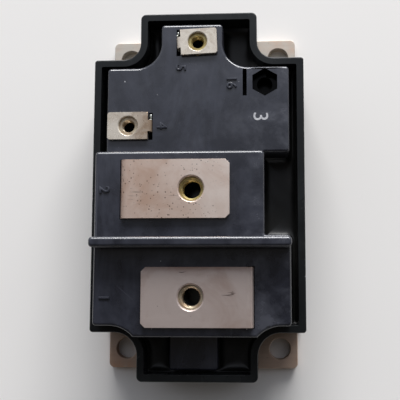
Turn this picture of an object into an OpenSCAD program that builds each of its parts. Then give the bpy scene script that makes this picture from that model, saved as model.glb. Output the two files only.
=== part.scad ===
// Power transistor module, 62 mm wide, with screw terminals.
// A metal base plate carries two bonded substrates inside a potted case. The terminal
// block sits on a ledge in the case and holds captive nuts under folded busbars.
// Millimetres. Z = 0 is the underside of the base plate, +Y runs along the module
// towards the control terminals, and the origin is the middle of the base plate.

/* [Base plate] */
// Thickness of the base plate
base_t = 3; // [2.5:0.1:3.6]
// Radius of the base plate's corners
base_corner_r = 1.6; // [1:0.1:3]
// Distance of the mounting holes from the base plate's sides
hole_inset_x = 5.5; // [5:0.25:6.5]
// Distance of the mounting holes from the base plate's ends
hole_inset_y = 6; // [5:0.25:6.5]
// Diameter of the mounting holes
hole_d = 6.5; // [5.5:0.1:7]

/* [Case] */
// Overall width of the case
case_w = 62; // [61:0.5:66]
// Overall length of the case
case_l = 108; // [107:0.5:112]
// Length of each narrow end of the case
end_l = 13.9; // [13:0.1:14.5]
// Width of the narrow ends of the case
end_w = 34.6; // [34:0.2:36]
// Radius where the rear end meets the shoulders
rear_fillet_r = 5; // [4.5:0.1:6.5]
// Radius where the front end meets the shoulders
front_fillet_r = 6.6; // [6:0.1:7]
// Radius of the four shoulder corners
shoulder_r = 0.9; // [0.7:0.1:2]
// Radius of the corners of the narrow ends
end_r = 1.6; // [1:0.1:2.5]
// Height of the rim above the base plate's underside
rim_z = 22; // [20.5:0.5:23]
// Thickness of the rim
rim_wall = 2.1; // [1.8:0.1:2.4]
// Radius along the rim's outer top edge
rim_edge_r = 0.4; // [0.2:0.1:0.7]
// Height of the ledge that carries the terminal block
ledge_z = 11; // [10.6:0.2:12]
// Thickness of the case wall under the ledge
ledge_wall = 6; // [5:0.2:6.4]
// Thickness of the skirt that hides the base plate's edge
skirt_wall = 1.2; // [0.9:0.1:1.5]
// Height of the skirt's lower edge, which keeps it off the heat sink
skirt_z = 0.6; // [0.3:0.1:1]
// Clearance between the base plate and the skirt
plate_gap = 0.3; // [0.1:0.05:0.5]
// Thickness of the adhesive between the base plate and the case
seal_t = 0.3; // [0.2:0.05:0.5]

/* [Terminal block] */
// Height of the control deck
control_z = 24; // [23.5:0.25:25]
// Height of the main deck
main_z = 29; // [28:0.25:30]
// Height of the rib between the main terminals
rib_z = 35; // [33:0.5:37]
// Thickness of the rib
rib_t = 2.8; // [2.2:0.1:3.4]
// Height of the plain boss at the front
boss_z = 20; // [18:0.5:21]
// Width of the boss
boss_w = 14.15; // [12:0.05:16]
// Offset of the boss from the centre line
boss_x = -1.2; // [-2:0.1:0]
// Clearance between the boss and the rim
boss_gap = 0.9; // [0.5:0.1:2]
// Thickness of the block's side walls
block_wall = 2; // [1.6:0.1:2.4]
// Thickness of the block's decks
deck_t = 3; // [2.4:0.1:3.4]
// Radius along the block's top edges
edge_r = 0.9; // [0.4:0.1:0.9]
// Radius of the block's upright corners
corner_r = 1; // [1:0.1:1.4]
// Clearance between the block's long left side and the rim
fit_gap = 0.4; // [0.2:0.1:0.8]
// Clearance between the block's front shoulders and the rim
front_gap = 0.2; // [0.1:0.05:0.5]
// Width of the pouring gap along the sides
side_gap = 2.3; // [1.8:0.1:2.6]
// Width of the gap behind the control deck's shoulders
rear_gap = 1.2; // [0.8:0.1:1.8]
// Width of the gap behind the control deck's lobe
lobe_gap = 2.1; // [1.5:0.1:2.6]
// Reach of the lobe to the left of the centre line
lobe_left = 10.8; // [10:0.1:11.5]
// Reach of the lobe to the right of the centre line
lobe_right = 7.3; // [6.8:0.1:8]
// Radius where the lobe meets the control deck's shoulders
lobe_fillet_r = 7.5; // [6:0.1:8]
// Reach of the main deck behind the emitter terminal's hole
main_rear = 10.9; // [10.4:0.1:11.1]
// Width of the open pocket at the right, from the rim
pocket_w = 9.6; // [8.6:0.1:10.4]
// Reach of the pocket behind the emitter terminal's hole
pocket_rear = 11.2; // [11.1:0.1:12.4]
// Reach of the pocket in front of the emitter terminal's hole
pocket_front = 12.8; // [11:0.1:13]
// Reach of the main deck's middle in front of its shoulders
front_reach = 3.05; // [2.5:0.05:4]

/* [Main terminals] */
// Distance of the collector terminal's hole from the main deck's front shoulders
collector_inset = 7.9; // [7.6:0.1:8.4]
// Place of the emitter terminal's hole along the module
emitter_y = 0.1; // [-0.3:0.1:0.5]
// Place of the main terminals' holes across the module
terminal_x = -1.05; // [-1.5:0.05:-0.6]
// Thickness of the main busbars
busbar_t = 1.5; // [1.2:0.1:1.6]
// Width of the main busbars
busbar_w = 16.5; // [15:0.1:17]
// Inside radius of the busbars' bends
busbar_bend_r = 0.5; // [0.3:0.1:0.8]
// Clearance hole through the main busbars
busbar_hole_d = 7; // [6.4:0.1:8]
// Chamfer round the busbars' holes
busbar_hole_chamfer = 0.4; // [0.1:0.1:0.6]
// Chamfer of the busbars' free corners
busbar_corner = 1.2; // [0.6:0.1:2]
// Reach of the emitter busbar from its hole to its free end
emitter_free = 10.7; // [9:0.1:12]
// Distance of the emitter busbar's leg from the block's left side
emitter_leg_inset = 7.5; // [7.2:0.05:7.8]
// Reach of the collector busbar from its hole to its free end
collector_free = 13.65; // [12:0.05:15]
// Distance of the collector busbar's leg from the block's right side
collector_leg_inset = 10.3; // [9.6:0.05:11]
// Clearance between a leg and its slot
slot_gap = 0.2; // [0.1:0.05:0.4]

/* [Control terminals] */
// Thickness of the control terminals
tag_t = 1; // [0.7:0.1:1]
// Width of the base terminal
base_tag_w = 8; // [7:0.1:9]
// Width of the auxiliary emitter terminal
aux_tag_w = 7.6; // [7:0.1:9]
// Width of the necks that turn down into the slots
neck_w = 3.3; // [2.5:0.1:4]
// Length of the necks beyond their pads
neck_l = 1.2; // [0.8:0.1:1.6]
// Inside radius of the control terminals' bends
tag_bend_r = 0.3; // [0.2:0.05:0.4]
// Clearance hole through the control terminals
tag_hole_d = 5.5; // [4.4:0.1:6]
// Chamfer of the control terminals' free corners
tag_corner = 0.5; // [0.2:0.1:1]
// Width of the slots in the control deck
tag_slot_w = 1.2; // [1.15:0.05:1.5]
// Length of the slots in the control deck
tag_slot_l = 8; // [6:0.1:9]
// Distance of the base terminal's hole from the deck's left side
base_inset_x = 6.5; // [6.2:0.1:6.8]
// Distance of the base terminal's hole from the main deck
base_inset_y = 8.3; // [8:0.1:8.8]
// Reach of the base terminal from its hole to its free end
base_free = 6; // [5:0.1:6.2]
// Distance of the base terminal's slot from its hole
base_slot = 6.45; // [6.3:0.05:6.7]
// Distance of the auxiliary emitter's hole from the lobe's rear edge
aux_inset = 5.6; // [5.2:0.1:6.5]
// Reach of the auxiliary emitter terminal from its hole to its free end
aux_free = 5.7; // [5:0.1:6]
// Distance of the auxiliary emitter's slot from its hole
aux_slot = 5.65; // [5.5:0.05:6.2]
// Angle by which the auxiliary emitter terminal stands out of square
aux_skew = 2.5; // [0:0.5:3]
// Distance of the spare nut pocket from the deck's right side
spare_inset_x = 7; // [6.5:0.1:7.5]
// Distance of the spare nut pocket from the deck's rear shoulder
spare_inset_y = 4.7; // [4.5:0.1:6]
// Distance of the spare slot from its nut pocket
spare_slot = 5.85; // [5.5:0.05:6.2]

/* [Nuts] */
// Width across flats of the main nuts
main_nut_af = 10; // [9:0.1:10.4]
// Height of the main nuts
main_nut_h = 5; // [4:0.1:5.5]
// Bore of the main nuts inside the thread
main_nut_bore = 5; // [4.8:0.05:5.4]
// Width across flats of the control nuts
tag_nut_af = 7; // [6.6:0.1:7.2]
// Height of the control nuts
tag_nut_h = 3.2; // [2.8:0.1:3.4]
// Bore of the control nuts inside the thread
tag_nut_bore = 3.3; // [3:0.05:3.6]
// Height by which the control nuts stand out of the deck
tag_nut_proud = 0.25; // [0:0.05:0.5]
// Clearance between a nut's flats and its pocket
nut_gap = 0.1; // [0.05:0.05:0.2]
// Wall round a nut pocket
well_wall = 1.2; // [1:0.1:1.4]
// Distance of the nut wells from the outside of the block's walls
well_inset = 0.5; // [0.3:0.1:1]
// Thickness of a nut well's closed bottom
well_floor = 1.5; // [1:0.1:2]
// Room under a main nut for the end of the screw
main_screw_room = 7; // [5:0.5:8]
// Room under a control nut for the end of the screw
tag_screw_room = 4.5; // [3:0.5:5]
// Diameter of the screw room under a main nut
main_room_d = 6.5; // [6.2:0.1:7.5]
// Diameter of the screw room under a control nut
tag_room_d = 4.5; // [4.2:0.1:5.2]

/* [Potting] */
// Height of the resin that seals the block into the case
resin_z = 13.5; // [12.8:0.1:14]
// Height of the openings that let resin flow under the block's walls
flow_h = 1.5; // [1:0.1:1.7]
// Width of the openings that let resin flow under the block's walls
flow_w = 6; // [4:0.5:8]
// Place of the flow openings either side of the middle
flow_y = 25; // [23:0.5:27]

/* [Substrates] */
// Clearance between the substrates and the case's sides
substrate_side_gap = 3; // [2.6:0.1:3.4]
// Clearance between the substrates and the case's shoulders
substrate_end_gap = 1.6; // [1.2:0.1:2]
// Gap between the two substrates
substrate_gap = 3; // [2.4:0.2:3.6]
// Thickness of the ceramic
ceramic_t = 0.63; // [0.38:0.05:1]
// Thickness of the copper on both faces of the ceramic
copper_t = 0.3; // [0.2:0.05:0.4]
// Bare margin round the copper
copper_margin = 0.8; // [0.6:0.1:0.9]
// Thickness of the solder under the substrates
solder_t = 0.15; // [0.1:0.05:0.3]
// Thickness of the solder under the chips
chip_solder_t = 0.1; // [0.05:0.05:0.15]
// Thickness of the chips
chip_t = 0.35; // [0.2:0.05:0.5]
// Side of a driver chip
driver_side = 6; // [5:0.1:6.2]
// Gap between a driver chip and the transistor chips
driver_gap = 1.7; // [1.4:0.1:2]
// Distance from a pad's ends to the first and last chips
chip_end_gap = 1; // [0.6:0.1:1.4]
// Distance from a pad's side to its chips, and of a bond from a chip's edge
chip_margin = 0.9; // [0.6:0.1:1.2]
// Gap between the transistor chips and the diode chips
chip_gap = 4.4; // [4:0.1:5]
// Gap between the diode chips and the collector busbar's leg
leg_gap = 3.8; // [3.4:0.1:4.4]
// Width of the emitter pad
emitter_pad_w = 5; // [4.8:0.1:5.2]
// Width of the base pad
base_pad_w = 3; // [2.6:0.1:3.2]
// Bare gap between the base pad and the collector pad
pad_gap = 0.8; // [0.6:0.1:1.2]

/* [Bonds and links] */
// Diameter of the aluminium bond wires
wire_d = 0.4; // [0.3:0.05:0.5]
// Number of bond wires on each transistor and diode chip
wire_count = 3; // [1:1:4]
// Height of the loops to the emitter pad
emitter_loop = 3.2; // [2.8:0.1:3.5]
// Height of the loops to the diode chips
diode_loop = 2.4; // [2:0.1:3]
// Height of the loops to the driver chips
driver_loop = 1.2; // [1:0.1:1.6]
// Thickness of the links between the substrates
link_t = 0.8; // [0.6:0.1:1]
// Inside radius of the links' bends
link_bend_r = 0.3; // [0.2:0.05:0.4]
// Height of the links' arches
link_rise = 2.4; // [2.2:0.1:2.8]
// Length of a link from the middle to the end of its foot
link_reach = 5; // [4.6:0.1:5.2]
// Width of the collector link
collector_link_w = 4; // [3:0.1:5]
// Width of the base link
base_link_w = 2; // [1.6:0.1:2.4]
// Width of the emitter sense link
sense_w = 1.6; // [1.2:0.1:2]
// Length of the collector busbar's soldered foot
collector_foot = 3.5; // [3:0.1:4]
// Length of the emitter busbar's soldered feet
emitter_foot = 2.7; // [2.4:0.1:2.9]
// Width of the collector busbar's leg below the deck
collector_leg_w = 8; // [6:0.1:8.4]
// Width of each of the emitter busbar's two legs below the deck
emitter_leg_w = 2.6; // [2:0.1:2.8]
// Height at which the busbars narrow to their feet
leg_split_z = 20; // [18:0.5:22]

/* [Hidden] */
$fn = 64;

// Smallest radius left on an inner corner
inner_r = 0.5;
// Depth of the overlap that joins a raised part to the deck below it
root = 1;
// Extra length of a cut past the faces it opens
past = 1;

// Heights of the layers on the base plate
solder_z = base_t;
bottom_copper_z = solder_z + solder_t;
ceramic_z = bottom_copper_z + copper_t;
pattern_z = ceramic_z + ceramic_t;
pattern_top_z = pattern_z + copper_t;
chip_z = pattern_top_z + chip_solder_t;
chip_top_z = chip_z + chip_t;
// Height of the link that runs over the bond wires
sense_z = chip_top_z + emitter_loop + link_t;

// Base plate and case
plate_w = case_w - 2 * (skirt_wall + plate_gap);
plate_l = case_l - 2 * (skirt_wall + plate_gap);
frame_z = base_t + seal_t;
shoulder_x = case_w / 2;
end_x = end_w / 2;
end_y = case_l / 2;
shoulder_y = end_y - end_l;
hole_x = plate_w / 2 - hole_inset_x;
hole_y = plate_l / 2 - hole_inset_y;

// Terminal block
left_x = -(shoulder_x - rim_wall - fit_gap);
side_x = shoulder_x - rim_wall - side_gap;
pocket_x = shoulder_x - rim_wall - pocket_w;
control_rear_y = shoulder_y - rim_wall - rear_gap;
lobe_rear_y = end_y - rim_wall - lobe_gap;
main_front_y = -(shoulder_y - rim_wall - front_gap);
flare_r = front_fillet_r + rim_wall + front_gap;
tongue_x = end_x + front_fillet_r - flare_r;
tongue_y = main_front_y - flare_r - 2 * corner_r;
front_y = main_front_y - front_reach;
boss_front_y = -(end_y - rim_wall - boss_gap);
boss_root_y = main_front_y + block_wall;
main_rear_y = emitter_y + main_rear;
pocket_rear_y = emitter_y + pocket_rear;
pocket_front_y = emitter_y - pocket_front;
control_root_y = main_rear_y - block_wall - corner_r - 2 * root;

// Terminals and nuts
collector_y = main_front_y + collector_inset;
rib_y = (emitter_y + collector_y) / 2;
emitter_at = [terminal_x, emitter_y];
collector_at = [terminal_x, collector_y];
base_at = [base_inset_x - side_x, main_rear_y + base_inset_y];
aux_at = [0, lobe_rear_y - aux_inset];
spare_at = [side_x - spare_inset_x, control_rear_y - spare_inset_y];
emitter_leg_x = left_x + emitter_leg_inset;
collector_leg_x = side_x - collector_leg_inset;
base_leg_x = base_at.x + base_slot;
aux_leg_x = aux_at.x - aux_slot;
tag_nut_z = control_z + tag_nut_proud;
main_pocket_af = main_nut_af + 2 * nut_gap;
tag_pocket_af = tag_nut_af + 2 * nut_gap;
tag_pocket_h = tag_nut_h - tag_nut_proud;

// Pads and chips on the rear substrate; the front one is its mirror image
substrate_y = substrate_gap / 2;
substrate_w = case_w - 2 * (ledge_wall + substrate_side_gap);
substrate_l = shoulder_y - ledge_wall - substrate_end_gap - substrate_y;
copper_y = substrate_y + copper_margin;
copper_l = substrate_l - 2 * copper_margin;
copper_x = substrate_w / 2 - copper_margin;
base_pad_x = base_leg_x - base_pad_w / 2;
collector_pad_x = base_pad_x + base_pad_w + pad_gap;
transistor_x = collector_pad_x + chip_margin;
chip_w = (collector_leg_x - busbar_t - leg_gap - transistor_x - chip_gap) / 2;
chip_l = (copper_l - driver_side) / 2 - driver_gap - chip_end_gap;
diode_x = transistor_x + chip_w + chip_gap;
chip_rows = [copper_y + chip_end_gap, copper_y + copper_l - chip_end_gap - chip_l];
driver_row = chip_rows[0] + chip_l + driver_gap;

// A path is a counter-clockwise list of [x, y, radius] corners.
function unit(v) = v / norm(v);
function xy(p) = [p.x, p.y];
function left_of(u) = [-u.y, u.x];
function before(path, i) = path[(i + len(path) - 1) % len(path)];
function after(path, i) = path[(i + 1) % len(path)];
function dir_in(path, i) = unit(xy(path[i]) - xy(before(path, i)));
function dir_out(path, i) = unit(xy(after(path, i)) - xy(path[i]));
// Angle of the turn at a corner, positive where the corner stands out
function bend(path, i) =
  let (u = dir_in(path, i), w = dir_out(path, i)) atan2(u.x * w.y - u.y * w.x, u * w);
function trim(path, i) = path[i][2] * tan(abs(bend(path, i)) / 2);
function arc_start(path, i) = xy(path[i]) - trim(path, i) * dir_in(path, i);
function arc_end(path, i) = xy(path[i]) + trim(path, i) * dir_out(path, i);
function arc_centre(path, i) =
  arc_start(path, i) + sign(bend(path, i)) * path[i][2] * left_of(dir_in(path, i));
// The same path moved inwards by d, with its rounds kept concentric
function inset_path(path, d) = [
  for (i = [0 : len(path) - 1])
    let (
      a = left_of(dir_in(path, i)),
      b = left_of(dir_out(path, i)),
      corner = xy(path[i]) + d * (a + b) / (1 + a * b),
      r = path[i][2] - sign(bend(path, i)) * d
    )
    [corner.x, corner.y, max(r, inner_r)]
];
// A path that is completed by its mirror image across the Y axis
function both_sides(half) =
  concat(half, [for (i = [len(half) - 1 : -1 : 0]) [-half[i].x, half[i].y, half[i][2]]]);

case_path = both_sides([
  [end_x, -end_y, end_r],
  [end_x, -shoulder_y, front_fillet_r],
  [shoulder_x, -shoulder_y, shoulder_r],
  [shoulder_x, shoulder_y, shoulder_r],
  [end_x, shoulder_y, rear_fillet_r],
  [end_x, end_y, end_r]
]);

control_path = [
  [side_x, pocket_rear_y, corner_r],
  [side_x, control_rear_y, corner_r],
  [lobe_right, control_rear_y, lobe_fillet_r],
  [lobe_right, lobe_rear_y, corner_r],
  [-lobe_left, lobe_rear_y, corner_r],
  [-lobe_left, control_rear_y, lobe_fillet_r],
  [-side_x, control_rear_y, corner_r],
  [-side_x, control_root_y, corner_r],
  [pocket_x, control_root_y, corner_r],
  [pocket_x, pocket_rear_y, inner_r]
];

// The main deck flares into a tongue that its front edge cuts short.
main_path = [
  [pocket_x, main_rear_y, corner_r],
  [left_x, main_rear_y, corner_r],
  [left_x, main_front_y, corner_r],
  [-tongue_x, main_front_y, flare_r],
  [-tongue_x, tongue_y, corner_r],
  [tongue_x, tongue_y, corner_r],
  [tongue_x, main_front_y, flare_r],
  [side_x, main_front_y, corner_r],
  [side_x, pocket_front_y, corner_r],
  [pocket_x, pocket_front_y, inner_r]
];

front_cut_path = both_sides([
  [shoulder_x, front_y, corner_r],
  [shoulder_x, shoulder_y, corner_r]
]);

boss_path = [
  [boss_x + boss_w / 2, boss_root_y, corner_r],
  [boss_x - boss_w / 2, boss_root_y, corner_r],
  [boss_x - boss_w / 2, boss_front_y, corner_r],
  [boss_x + boss_w / 2, boss_front_y, corner_r]
];

rib_path = [
  [side_x, rib_y + rib_t / 2, corner_r],
  [left_x, rib_y + rib_t / 2, corner_r],
  [left_x, rib_y - rib_t / 2, corner_r],
  [side_x, rib_y - rib_t / 2, corner_r]
];

// Section of a folded strip whose leg goes down at bend_x and ends at foot_z.
// A positive foot turns away from the free end, a negative one turns back under it.
function folded_section(free_x, bend_x, top_z, foot_z, foot, t, r) =
  let (inner_x = bend_x - t)
  concat(
    [[free_x, top_z - t, 0], [inner_x, top_z - t, r]],
    foot > 0 ? [
      [inner_x, foot_z, r + t],
      [bend_x + foot, foot_z, 0],
      [bend_x + foot, foot_z + t, 0],
      [bend_x, foot_z + t, r]
    ] : foot < 0 ? [
      [inner_x, foot_z + t, r],
      [inner_x + foot, foot_z + t, 0],
      [inner_x + foot, foot_z, 0],
      [bend_x, foot_z, r + t]
    ] : [
      [inner_x, foot_z, 0],
      [bend_x, foot_z, 0]
    ],
    [[bend_x, top_z, r + t], [free_x, top_z, 0]]
  );

// Section of a link that arches from one substrate to the other
function arch_section(z) =
  let (heel = substrate_y - link_t / 4, r = link_bend_r, top = z + link_rise)
  [
    [-link_reach, z, 0],
    [-heel, z, r + link_t],
    [-heel, top, r],
    [heel, top, r],
    [heel, z, r + link_t],
    [link_reach, z, 0],
    [link_reach, z + link_t, 0],
    [heel + link_t, z + link_t, r],
    [heel + link_t, top + link_t, r + link_t],
    [-heel - link_t, top + link_t, r + link_t],
    [-heel - link_t, z + link_t, r],
    [-link_reach, z + link_t, 0]
  ];

// Flat shape inside a path, with true arcs at its corners
module outline(path) {
  corners = [0 : len(path) - 1];
  difference() {
    union() {
      polygon([
        for (i = corners)
          each path[i][2] > 0 ? [arc_start(path, i), arc_end(path, i)] : [xy(path[i])]
      ]);
      for (i = corners)
        if (path[i][2] > 0 && bend(path, i) > 0)
          intersection() {
            translate(arc_centre(path, i)) circle(path[i][2]);
            polygon([arc_start(path, i), xy(path[i]), arc_end(path, i)]);
          }
    }
    for (i = corners)
      if (path[i][2] > 0 && bend(path, i) < 0)
        translate(arc_centre(path, i)) circle(path[i][2]);
  }
}

// Section of a wall that is rounded along its outer top edge
module edge_section(depth, height, r) {
  square([depth, height - r]);
  translate([r, 0]) square([depth - r, height]);
  intersection() {
    translate([r, height - r]) circle(r);
    square([depth, height]);
  }
}

// Solid inside a path with its top edge rounded to r.
// The edge section is carried straight along each side and turned round each corner.
module rounded_slab(path, height, r, depth) {
  count = len(path);
  for (i = [0 : count - 1]) {
    start = arc_end(path, i);
    run = arc_start(path, (i + 1) % count) - start;
    translate(start)
      rotate([0, 0, atan2(run.y, run.x)])
        rotate([90, 0, 90])
          linear_extrude(norm(run)) edge_section(depth, height, r);
    turn = bend(path, i);
    centre = arc_centre(path, i);
    spoke = (turn > 0 ? arc_start(path, i) : arc_end(path, i)) - centre;
    translate(centre)
      rotate([0, 0, atan2(spoke.y, spoke.x)])
        rotate_extrude(angle = abs(turn))
          translate([path[i][2], 0])
            mirror([turn > 0 ? 1 : 0, 0])
              edge_section(depth, height, r);
  }
  linear_extrude(height) polygon(core_points(path, r, depth));
}

// Corners of the solid middle of a rounded slab, which ends where the edge sections
// are at their full height
function core_points(path, r, depth) = [
  for (i = [0 : len(path) - 1])
    let (
      centre = arc_centre(path, i),
      turn = bend(path, i),
      spoke = arc_start(path, i) - centre,
      reach = path[i][2] - sign(turn) * (r + depth) / 2
    )
    for (step = [0 : 6])
      let (angle = atan2(spoke.y, spoke.x) + turn * step / 6)
      centre + reach * [cos(angle), sin(angle)]
];

module box_between(low, high) {
  translate(low) cube(high - low);
}

module on_both_substrates() {
  children();
  mirror([0, 1, 0]) children();
}

module base_plate() {
  color("silver")
    difference() {
      linear_extrude(base_t)
        outline(both_sides([
          [plate_w / 2, -plate_l / 2, base_corner_r],
          [plate_w / 2, plate_l / 2, base_corner_r]
        ]));
      for (x = [-1, 1], y = [-1, 1])
        translate([x * hole_x, y * hole_y, -past])
          cylinder(h = base_t + 2 * past, d = hole_d);
    }
}

module case_seal() {
  color("dimgray")
    translate([0, 0, base_t])
      linear_extrude(seal_t)
        intersection() {
          difference() {
            outline(case_path);
            outline(inset_path(case_path, ledge_wall));
          }
          square([plate_w, plate_l], center = true);
        }
}

module case_frame() {
  color([0.15, 0.17, 0.18])
    difference() {
      translate([0, 0, skirt_z])
        rounded_slab(case_path, rim_z - skirt_z, rim_edge_r, shoulder_r);
      translate([0, 0, ledge_z])
        linear_extrude(rim_z) outline(inset_path(case_path, rim_wall));
      linear_extrude(rim_z) outline(inset_path(case_path, ledge_wall));
      linear_extrude(2 * frame_z, center = true)
        square([plate_w + 2 * plate_gap, plate_l + 2 * plate_gap], center = true);
    }
}

// Solid outer form of the terminal block
module block_form() {
  translate([0, 0, ledge_z]) {
    rounded_slab(control_path, control_z - ledge_z, edge_r, corner_r);
    intersection() {
      rounded_slab(main_path, main_z - ledge_z, edge_r, corner_r);
      rounded_slab(front_cut_path, main_z - ledge_z, edge_r, corner_r);
    }
    rounded_slab(boss_path, boss_z - ledge_z, edge_r, corner_r);
  }
  translate([0, 0, main_z - root])
    rounded_slab(rib_path, rib_z - main_z + root, edge_r, corner_r);
}

// Outline of the main deck, or of a shape that lies inset inside it
module main_outline(inset) {
  intersection() {
    outline(inset_path(main_path, inset));
    outline(inset_path(front_cut_path, inset));
  }
}

// Room inside the terminal block, open at its foot
module block_room() {
  translate([0, 0, ledge_z - past]) {
    linear_extrude(control_z - deck_t - ledge_z + past)
      outline(inset_path(control_path, block_wall));
    linear_extrude(main_z - deck_t - ledge_z + past)
      main_outline(block_wall);
    linear_extrude(boss_z - deck_t - ledge_z + past)
      outline(inset_path(boss_path, block_wall));
  }
}

// Openings under the block's walls that the resin flows through
module flow_openings() {
  for (side = [-1, 1])
    translate([-case_w / 2, side * flow_y - flow_w / 2, ledge_z - past])
      cube([case_w, flow_w, flow_h + past]);
}

// Hexagon with two corners on the Y axis
module hexagon(across_flats) {
  rotate([0, 0, 90]) circle(across_flats / (2 * cos(30)), $fn = 6);
}

// Closed cup that hangs under a deck and holds a nut
module nut_well(at, pocket_top, pocket_af, pocket_h, room) {
  bottom = pocket_top - pocket_h - room - well_floor;
  translate([at.x, at.y, bottom])
    cylinder(h = pocket_top - root - bottom, d = pocket_af / cos(30) + 2 * well_wall);
}

// Cut for a nut and for the end of the screw below it
module nut_pocket(at, pocket_top, pocket_af, pocket_h, room, room_d) {
  translate([at.x, at.y, pocket_top - pocket_h]) {
    linear_extrude(pocket_h + past) hexagon(pocket_af);
    translate([0, 0, -room]) cylinder(h = room + past, d = room_d);
  }
}

module busbar_slot(at, leg_x) {
  reach = abs(leg_x - at.x);
  inner = reach - busbar_t - busbar_bend_r - slot_gap;
  translate([at.x, at.y, main_z - deck_t - past])
    mirror([leg_x > at.x ? 0 : 1, 0, 0])
      translate([inner, -busbar_w / 2 - slot_gap, 0])
        cube([reach + slot_gap - inner, busbar_w + 2 * slot_gap, deck_t + 2 * past]);
}

module tag_slot_cut(x, y) {
  translate([x - tag_slot_w / 2, y - tag_slot_l / 2, resin_z])
    cube([tag_slot_w, tag_slot_l, control_z - resin_z + past]);
}

module terminal_block() {
  color([0.28, 0.29, 0.33])
    difference() {
      union() {
        difference() {
          block_form();
          block_room();
        }
        for (at = [emitter_at, collector_at])
          nut_well(at, main_z, main_pocket_af, main_nut_h, main_screw_room);
        intersection() {
          for (at = [base_at, aux_at, spare_at])
            nut_well(at, control_z, tag_pocket_af, tag_pocket_h, tag_screw_room);
          linear_extrude(control_z) outline(inset_path(control_path, well_inset));
        }
      }
      for (at = [emitter_at, collector_at])
        nut_pocket(at, main_z, main_pocket_af, main_nut_h, main_screw_room, main_room_d);
      for (at = [base_at, aux_at, spare_at])
        nut_pocket(at, control_z, tag_pocket_af, tag_pocket_h, tag_screw_room, tag_room_d);
      busbar_slot(emitter_at, emitter_leg_x);
      busbar_slot(collector_at, collector_leg_x);
      tag_slot_cut(base_leg_x, base_at.y);
      tag_slot_cut(aux_leg_x, aux_at.y);
      tag_slot_cut(spare_at.x - spare_slot, spare_at.y);
      flow_openings();
    }
}

module potting_resin() {
  color([0.1, 0.1, 0.09])
    difference() {
      translate([0, 0, ledge_z])
        linear_extrude(resin_z - ledge_z) outline(inset_path(case_path, rim_wall));
      difference() {
        translate([0, 0, ledge_z - past])
          linear_extrude(resin_z - ledge_z + 2 * past)
            difference() {
              union() {
                outline(control_path);
                main_outline(0);
                outline(boss_path);
              }
              outline(inset_path(control_path, block_wall));
              main_outline(block_wall);
              outline(inset_path(boss_path, block_wall));
            }
        flow_openings();
      }
      emitter_terminal();
      collector_terminal();
      base_terminal();
      auxiliary_emitter_terminal();
    }
}

module silicone_gel() {
  color([0.75, 0.8, 0.85, 0.5])
    difference() {
      translate([0, 0, base_t])
        linear_extrude(ledge_z - base_t) outline(inset_path(case_path, ledge_wall));
      substrate_solder();
      bottom_copper();
      ceramic_substrates();
      emitter_copper();
      base_copper();
      collector_copper();
      chip_solder();
      transistor_chips();
      driver_chips();
      diode_chips();
      emitter_bond_wires();
      driver_bond_wires();
      diode_bond_wires();
      collector_link();
      base_link();
      emitter_sense_link();
      emitter_terminal();
      collector_terminal();
      base_terminal();
      auxiliary_emitter_terminal();
    }
}

// Strip with the given section in X and Z, w wide along Y
module strip(section, w) {
  rotate([90, 0, 0])
    linear_extrude(w, center = true) outline(section);
}

// Hole with both edges chamfered
module eased_hole(top_z, t, d, chamfer) {
  translate([0, 0, top_z - t - past]) cylinder(h = t + 2 * past, d = d);
  translate([0, 0, top_z - chamfer])
    cylinder(h = chamfer + past, d1 = d, d2 = d + 2 * (chamfer + past));
}

// Cut that takes both corners off a strip's free end
module free_corners(free_x, w, corner, z) {
  for (side = [-1, 1])
    translate([free_x, side * w / 2, z])
      rotate([0, 0, 45])
        cube([corner * sqrt(2), corner * sqrt(2), 4 * busbar_t], center = true);
}

// Main busbar as it lies with its hole at the origin and its bend towards +X
module busbar(free, reach, foot) {
  top = main_z + busbar_t;
  difference() {
    strip(folded_section(-free, reach, top, pattern_top_z, foot, busbar_t, busbar_bend_r), busbar_w);
    eased_hole(top, busbar_t, busbar_hole_d, busbar_hole_chamfer);
    free_corners(-free, busbar_w, busbar_corner, main_z);
  }
}

// Cut through a busbar's leg below leg_split_z, between two places along the module
module leg_cut(leg_x, low_y, high_y) {
  reach = busbar_t + max(emitter_foot, collector_foot) + past;
  box_between([leg_x - reach, low_y, 0], [leg_x + reach, high_y, leg_split_z]);
}

module emitter_terminal() {
  leg_outer_y = copper_y + emitter_leg_w;
  color([0.78, 0.72, 0.66])
    difference() {
      translate(emitter_at)
        mirror([1, 0, 0])
          busbar(emitter_free, terminal_x - emitter_leg_x, -emitter_foot);
      leg_cut(emitter_leg_x, -copper_y, copper_y);
      leg_cut(emitter_leg_x, leg_outer_y, leg_outer_y + busbar_w);
      leg_cut(emitter_leg_x, -leg_outer_y - busbar_w, -leg_outer_y);
    }
}

module collector_terminal() {
  leg_front_y = -(copper_y + copper_l - copper_margin);
  leg_rear_y = leg_front_y + collector_leg_w;
  color([0.66, 0.62, 0.57])
    difference() {
      translate(collector_at)
        busbar(collector_free, collector_leg_x - terminal_x, collector_foot);
      leg_cut(collector_leg_x, leg_rear_y, leg_rear_y + busbar_w);
      leg_cut(collector_leg_x, leg_front_y - busbar_w, leg_front_y);
    }
}

// Control terminal as it lies with its hole at the origin and its neck towards +X
module tag(free, slot, w, foot_z) {
  top = tag_nut_z + tag_t;
  pad_end = slot + tag_t / 2 - neck_l;
  difference() {
    strip(folded_section(-free, slot + tag_t / 2, top, foot_z, 0, tag_t, tag_bend_r), w);
    eased_hole(top, tag_t, tag_hole_d, tag_t / 4);
    free_corners(-free, w, tag_corner, tag_nut_z);
    for (side = [-1, 1])
      translate([pad_end, side * (neck_w + w) / 2 - w / 2, 0])
        cube([slot, w, top + past]);
  }
}

module base_terminal() {
  color([0.82, 0.8, 0.74])
    translate(base_at) tag(base_free, base_slot, base_tag_w, pattern_top_z);
}

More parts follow.
